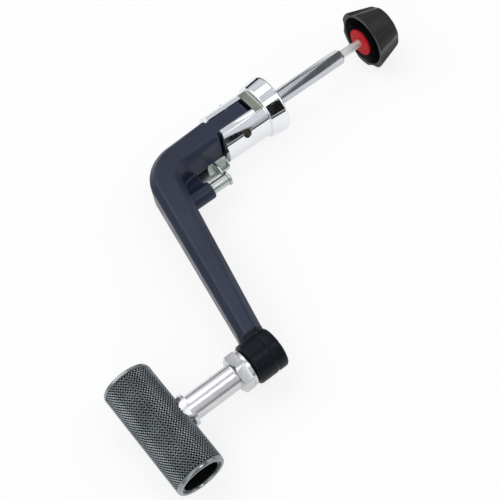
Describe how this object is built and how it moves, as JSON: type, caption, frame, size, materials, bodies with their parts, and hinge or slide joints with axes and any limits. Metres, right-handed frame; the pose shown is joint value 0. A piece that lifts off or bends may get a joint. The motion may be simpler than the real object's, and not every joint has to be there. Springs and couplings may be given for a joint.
{
  "type": "folding fishing reel crank handle",
  "caption": "Folding crank handle with a hex drive shaft and screw cap, a slotted yoke, an L-shaped arm with a slide lock, and a spinning cross grip.",
  "frame": {"origin": "on the drive shaft's axis, in the plane of the yoke's front face, where the handle seats against the reel", "axes": "+X along the drive shaft towards the screw cap; the crank arm goes to -Y; +Z is square to the arm's flat face"},
  "size_m": [0.164, 0.1093, 0.0228],
  "materials": {
    "chrome_yoke": "bright chrome over fine turning marks",
    "chrome_shaft": "bright chrome",
    "dark_steel": "dark oiled steel",
    "slate_paint": "satin slate-navy paint on a die casting",
    "brass": "plain brass",
    "steel": "plain steel",
    "zinc": "zinc plated",
    "satin_aluminium": "bright satin, turned",
    "gunmetal": "dark gunmetal, finely knurled",
    "gloss_black": "gloss black",
    "black_plastic": "moulded black plastic",
    "red_plastic": "bright red"
  },
  "bodies": {
    "yoke_shaft": {"yoke": "chrome_yoke", "drive_shaft": "chrome_shaft", "grub_screw": "dark_steel", "hinge_pin": "dark_steel"},
    "crank": {"arm": "slate_paint", "hinge_bush": "brass", "shim_reel_side": "steel", "shim_knob_side": "steel", "lock_screw": "steel", "lock_spring": "steel", "spindle": "steel", "spindle_collar": "steel", "thrust_washer": "black_plastic", "end_washer": "steel", "end_screw": "steel"},
    "lock": {"lock_plate": "zinc", "lock_rod": "zinc"},
    "knob": {"neck_sleeve": "satin_aluminium", "bush_inner": "brass", "bush_outer": "brass", "grip_core": "black_plastic", "grip_tube": "gunmetal", "grip_liner_left": "gloss_black", "grip_liner_right": "gloss_black"},
    "collar": {"cap_collar": "red_plastic"},
    "cap": {"cap_shell": "black_plastic", "cap_insert": "brass"}
  },
  "joints": [
    {"name": "arm_fold", "type": "hinge", "parent": "yoke_shaft", "child": "crank", "pos_m": [-0.0167, 0, 0.0037], "axis": [0, 1, 0], "range_deg": [0, 90]},
    {"name": "lock_slide", "type": "slide", "parent": "crank", "child": "lock", "axis": [-1, 0, 0], "range_m": [0, 0.004], "stiffness_N_per_m": 300, "springref_m": -0.002, "deforming": ["lock_spring"]},
    {"name": "knob_spin", "type": "hinge", "parent": "crank", "child": "knob", "pos_m": [-0.0824, -0.078, 0], "axis": [1, 0, 0], "continuous": true},
    {"name": "cap_travel", "type": "slide", "parent": "yoke_shaft", "child": "collar", "axis": [1, 0, 0], "range_m": [0, 0.0045]},
    {"name": "cap_turn", "type": "hinge", "parent": "collar", "child": "cap", "pos_m": [0.0465, 0, 0], "axis": [1, 0, 0], "range_deg": [0, 3240]}
  ],
  "couplings": [
    {"joint": "cap_travel", "follows": "cap_turn", "m_per_rad": 0.000079577}
  ]
}
